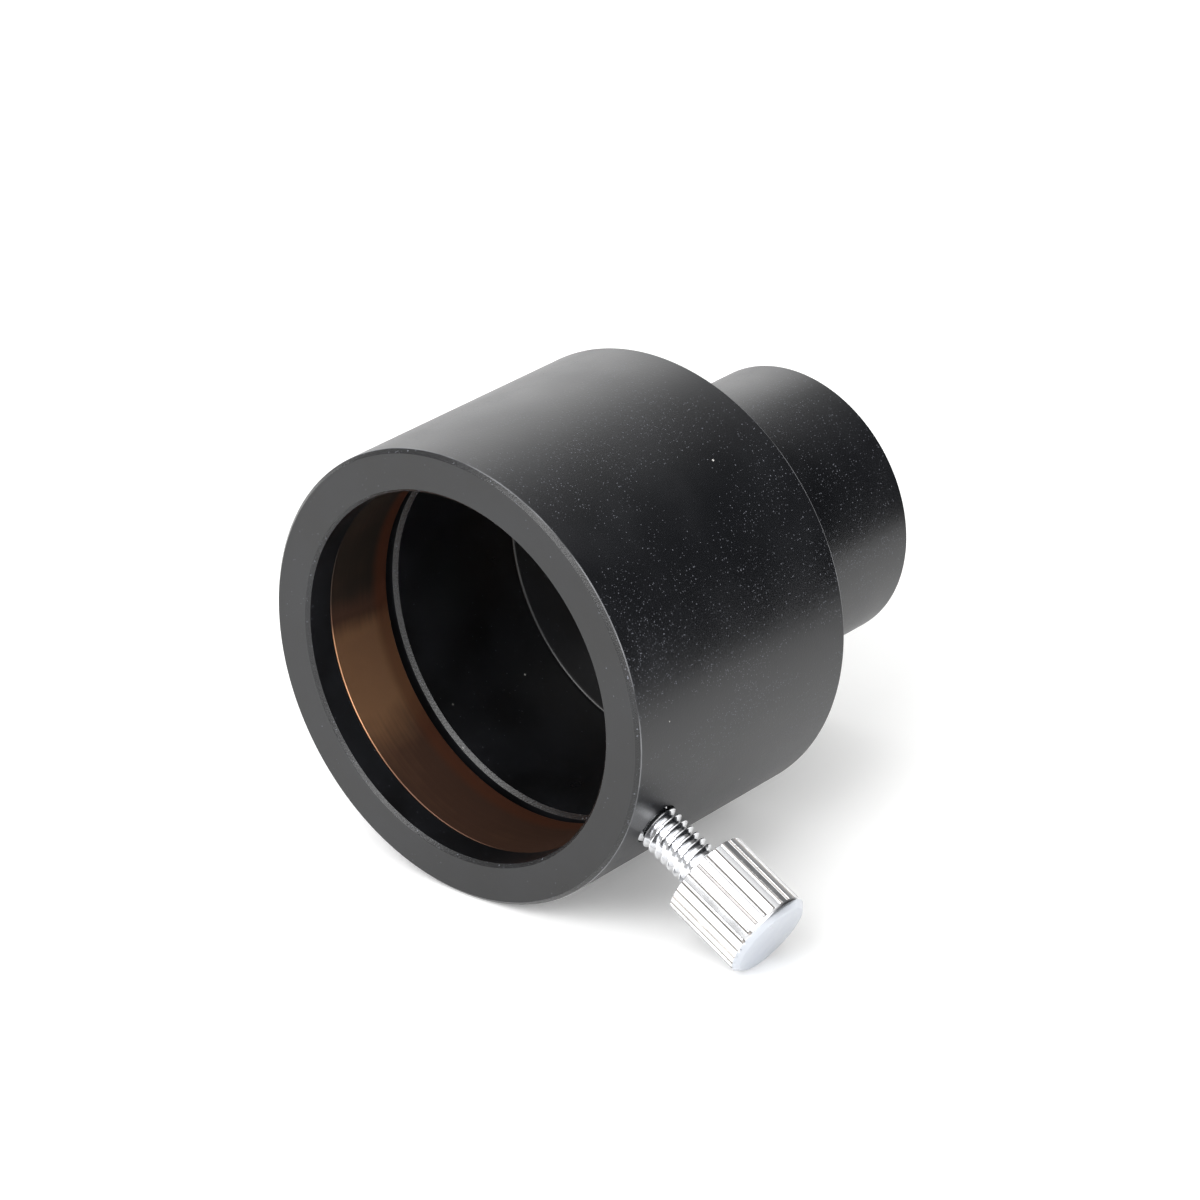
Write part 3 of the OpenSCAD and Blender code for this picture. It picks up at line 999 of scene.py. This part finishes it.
def white_card():
    """A flat sheet with rounded corners, its top at the holder's underside."""
    bm = bmesh.new()
    edge = []
    for side_x, side_y, quarter in ((CARD_RIGHT, CARD_FAR, 0), (CARD_LEFT, CARD_FAR, 1),
                                    (CARD_LEFT, CARD_NEAR, 2), (CARD_RIGHT, CARD_NEAR, 3)):
        x = side_x - math.copysign(CARD_CORNER, side_x)
        y = side_y - math.copysign(CARD_CORNER, side_y)
        for step in range(CORNER_STEPS + 1):
            a = math.pi / 2 * (quarter + step / CORNER_STEPS)
            edge.append(bm.verts.new((x + CARD_CORNER * math.cos(a),
                                      y + CARD_CORNER * math.sin(a), 0)))
    top = bm.faces.new(edge)
    sides = bmesh.ops.extrude_face_region(bm, geom=[top])
    bmesh.ops.translate(bm, vec=(0, 0, -CARD_THICK),
                        verts=[v for v in sides["geom"] if isinstance(v, bmesh.types.BMVert)])
    under_holder = axes(x=ACROSS_CARD, z=(0, 0, 1), origin=(0, 0, -holder_r * MM))
    return finish_mesh("white_card", bm, under_holder)


def card_stock():
    """Matte white card: pale, faintly uneven, with hardly any gloss, and a soft painted glow of its own
    that lightens its shadows.
    """
    made, tree, shader, place = new_material(
        "white_card_stock", Roughness=0.7, Specular_IOR_Level=0.2, Emission_Color=grey(1.0),
        Emission_Strength=CARD_PAINTED_GLOW)
    cloud = add(tree, "ShaderNodeTexNoise",
                {"Vector": place, "Scale": per_metre(60.0), "Detail": 2.0})
    tone = add(tree, "ShaderNodeValToRGB", {"Fac": cloud.outputs["Fac"]},
               stops=[(0.3, linear("#f0f0ef")), (0.7, linear("#f3f3f3"))])
    tree.links.new(tone.outputs["Color"], shader.inputs["Base Color"])
    return made


card = paint(white_card(), card_stock())
print(f"card top {holder_r:.2f} mm below the optical axis")

# %% [markdown]
# ## Soft light
# The room is bright and white except for one dark side, to the right and behind. That dark
# side is what the black tube mirrors along its flank, and it gives the tube its shape. A
# large soft panel overhead makes the short shadow, one above the camera puts the glint on
# the chamfers, one at the side lightens the shadow under the tube, and one behind on the
# left brightens the tube's upper edge.

# %% Light the scene
DARK_SIDE = Vector((0.65, 0.73, 0.21)).normalized()
ROOM_LIGHT = 1.1
# the point that every panel faces, the middle of the tube, in metres
LIT_POINT = Vector((0, 0.02, 0))


def bright_room():
    """A white room that is dimmer opposite its dark side, and nearly black in it."""
    world = bpy.data.worlds.new("bright_room")
    bpy.context.scene.world = world
    world.use_nodes = True
    tree = world.node_tree
    way = add(tree, "ShaderNodeTexCoord").outputs["Generated"]
    facing = add(tree, "ShaderNodeVectorMath", {0: way, 1: tuple(DARK_SIDE)},
                 operation="DOT_PRODUCT")
    # from 0, right opposite the dark side, to 1 in the middle of it
    turned = add(tree, "ShaderNodeMapRange", {"Value": facing.outputs["Value"], "From Min": -1.0})
    tone = add(tree, "ShaderNodeValToRGB", {"Fac": turned.outputs["Result"]},
               stops=[(0.15, grey(0.5)), (0.48, grey(1.0)), (0.62, grey(1.0)), (0.94, grey(0.01))])
    background = tree.nodes["Background"]
    tree.links.new(tone.outputs["Color"], background.inputs["Color"])
    background.inputs["Strength"].default_value = ROOM_LIGHT


def panel(name, spot, size, power):
    """A square area light at spot, turned to face the tube, in metres and watts."""
    light = bpy.data.lights.new(name, "AREA")
    light.size = size
    light.energy = power
    made = bpy.data.objects.new(name, light)
    made.location = spot
    made.rotation_euler = (LIT_POINT - Vector(spot)).to_track_quat("-Z", "Y").to_euler()
    bpy.context.collection.objects.link(made)
    return made


bright_room()
panel("overhead_panel", spot=(0.0, 0.1, 0.9), size=0.8, power=1.0)
panel("front_panel", spot=(0.05, -0.60, 0.56), size=0.6, power=5.0)
panel("side_panel", spot=(0.55, -0.2, 0.3), size=0.5, power=2.0)
panel("back_panel", spot=(-0.62, 0.62, 0.33), size=0.6, power=1.2)
bpy.context.scene.view_settings.view_transform = "Standard"
print("room and four panels lit")

# %% [markdown]
# ## The camera
# A long lens from a little above the table flattens the view, as in a close product shot. Its
# place is given by the point it looks at, its bearing, height and distance, and a slight
# lean.

# %% Place the camera
LENS_MM = 158.5
SENSOR_MM = 36
# nothing nearer than this is drawn, in metres
NEAREST = 0.01
AIM = Vector((7.40, 9.96, 5.36)) * MM
DISTANCE = 424.8 * MM
BEARING, HEIGHT, LEAN = math.radians(41.868), math.radians(24.783), math.radians(-2.683)

looking = Vector((-math.sin(BEARING) * math.cos(HEIGHT), math.cos(BEARING) * math.cos(HEIGHT),
                  -math.sin(HEIGHT)))
level = Vector((math.cos(BEARING), math.sin(BEARING), 0))
upright = level.cross(looking)
right = level * math.cos(LEAN) + upright * math.sin(LEAN)
up = upright * math.cos(LEAN) - level * math.sin(LEAN)
lens_data = bpy.data.cameras.new("camera")
lens_data.lens = LENS_MM
lens_data.sensor_width = SENSOR_MM
lens_data.clip_start = NEAREST
camera = bpy.data.objects.new("camera", lens_data)
camera.matrix_world = Matrix.Translation(AIM - looking * DISTANCE) @ Matrix(
    (right, up, -looking)).transposed().to_4x4()
bpy.context.collection.objects.link(camera)
bpy.context.scene.camera = camera
print(f"camera {DISTANCE / MM:.0f} mm away with a {LENS_MM} mm lens")
